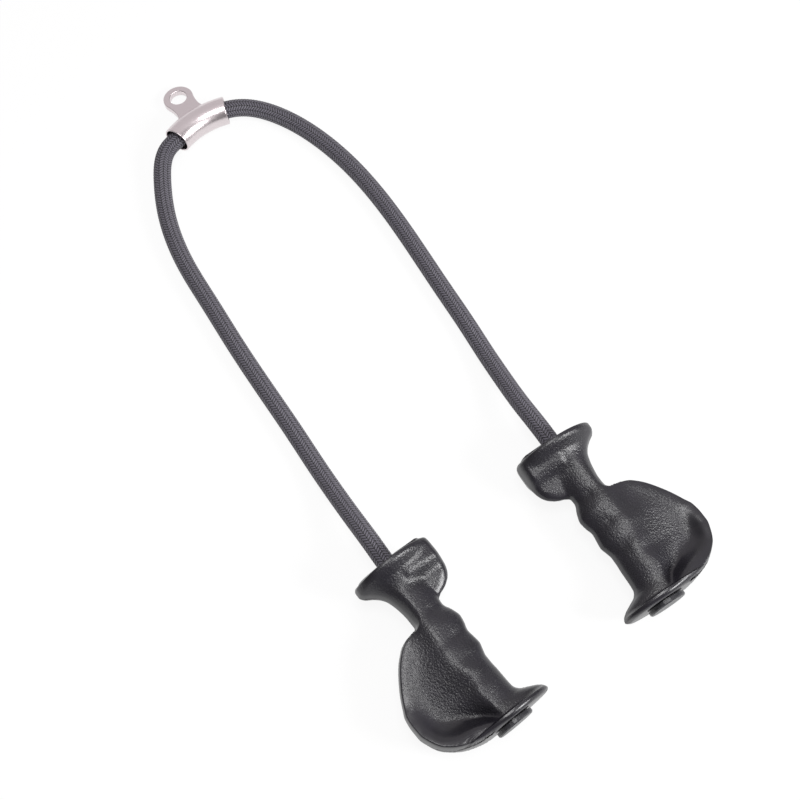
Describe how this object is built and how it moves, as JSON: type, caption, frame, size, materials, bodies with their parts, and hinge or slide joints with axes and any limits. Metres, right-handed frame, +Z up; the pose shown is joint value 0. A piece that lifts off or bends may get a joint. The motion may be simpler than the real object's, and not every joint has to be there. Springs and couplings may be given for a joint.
{
  "type": "triceps rope attachment",
  "caption": "Cable-machine pull rope: braided rope through a bent steel sleeve with a welded eye, and a moulded finger grip with a palm rest turning on each rope end.",
  "frame": {"origin": "centre of the box round the part without its two free rope legs, at the height of the table it lies on", "axes": "+Y towards the steel sleeve and its eye, -Y towards the grips, +X towards the right grip when seen from above with the eye at the top, +Z up from the table"},
  "size_m": [0.2901, 0.657, 0.0585],
  "materials": {
    "braided_nylon": "matt braid",
    "moulded_urethane": "satin, fine pebbled grain",
    "moulded_cap": "satin",
    "satin_stainless": "satin, tumbled",
    "weld_stainless": "blasted weld",
    "zinc_plated_steel": "zinc plated",
    "crimped_aluminium": "plain, crimped"
  },
  "bodies": {
    "rope_bight": {"rope_in_sleeve": "braided_nylon"},
    "eye_sleeve": {"sleeve_tube": "satin_stainless", "eye_plate": "satin_stainless", "weld_bead": "weld_stainless"},
    "leg_left": {"rope_leg_left": "braided_nylon", "rope_end_left": "braided_nylon", "ferrule_left": "crimped_aluminium"},
    "handle_left": {"grip_left": "moulded_urethane", "liner_tube_left": "zinc_plated_steel", "washer_left": "zinc_plated_steel", "end_cap_left": "moulded_cap"},
    "leg_right": {"rope_leg_right": "braided_nylon", "rope_end_right": "braided_nylon", "ferrule_right": "crimped_aluminium"},
    "handle_right": {"grip_right": "moulded_urethane", "liner_tube_right": "zinc_plated_steel", "washer_right": "zinc_plated_steel", "end_cap_right": "moulded_cap"}
  },
  "joints": [
    {"name": "sleeve_tilt", "type": "hinge", "parent": "rope_bight", "child": "eye_sleeve", "pos_m": [0.0066, 0.27625, 0.012], "axis": [0.9994, 0.0349, 0], "range_deg": [-40, 70], "deforming": ["rope_in_sleeve"]},
    {"name": "leg_left_swing", "type": "hinge", "parent": "rope_bight", "child": "leg_left", "pos_m": [-0.02058, 0.27381, 0.012], "axis": [0, 0, -1], "range_deg": [-3, 70], "deforming": ["rope_leg_left"]},
    {"name": "leg_right_swing", "type": "hinge", "parent": "rope_bight", "child": "leg_right", "pos_m": [0.03378, 0.2757, 0.012], "axis": [0, 0, 1], "range_deg": [-3, 70], "deforming": ["rope_leg_right"]},
    {"name": "handle_left_swivel", "type": "hinge", "parent": "leg_left", "child": "handle_left", "pos_m": [-0.0872, -0.167, 0.0295], "axis": [0.0698, -0.9976, 0], "continuous": true},
    {"name": "handle_right_swivel", "type": "hinge", "parent": "leg_right", "child": "handle_right", "pos_m": [0.0825, -0.1596, 0.0295], "axis": [-0.0297, -0.9996, 0], "continuous": true}
  ]
}
